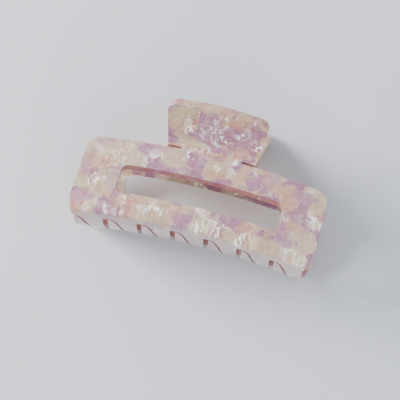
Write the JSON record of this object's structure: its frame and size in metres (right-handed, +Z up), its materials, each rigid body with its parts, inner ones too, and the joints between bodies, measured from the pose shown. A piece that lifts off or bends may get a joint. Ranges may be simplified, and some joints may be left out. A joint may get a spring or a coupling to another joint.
{
  "type": "claw clip",
  "caption": "Rectangular claw clip for hair, with open frame jaws, interlocking curved teeth, thumb handles and a sprung pin hinge.",
  "frame": {"origin": "bottom centre of the clip's box, on the surface it lies on", "axes": "+X along the hinge pin and the clip's length, +Y from the teeth towards the thumb handles, +Z up"},
  "size_m": [0.1, 0.0588, 0.0444],
  "materials": {
    "pearl_acetate": "polished pearl-marbled cellulose acetate in mauve, cream and peach",
    "plated_steel": "nickel-plated stamped steel",
    "spring_steel": "drawn spring wire"
  },
  "bodies": {
    "lower": {"lower_jaw": "pearl_acetate", "lower_hinge_bracket": "plated_steel", "lower_rivet_left": "plated_steel", "lower_rivet_right": "plated_steel", "hinge_pin": "plated_steel", "torsion_spring": "spring_steel"},
    "upper": {"upper_jaw": "pearl_acetate", "upper_hinge_bracket": "plated_steel", "upper_rivet_left": "plated_steel", "upper_rivet_right": "plated_steel"}
  },
  "joints": [
    {"name": "jaw_hinge", "type": "hinge", "parent": "lower", "child": "upper", "pos_m": [0, 0.01192, 0.02219], "axis": [-1, 0, 0], "range_deg": [0, 60], "stiffness_Nm_per_rad": 0.12, "springref_deg": -45.84, "deforming": ["torsion_spring"]}
  ]
}
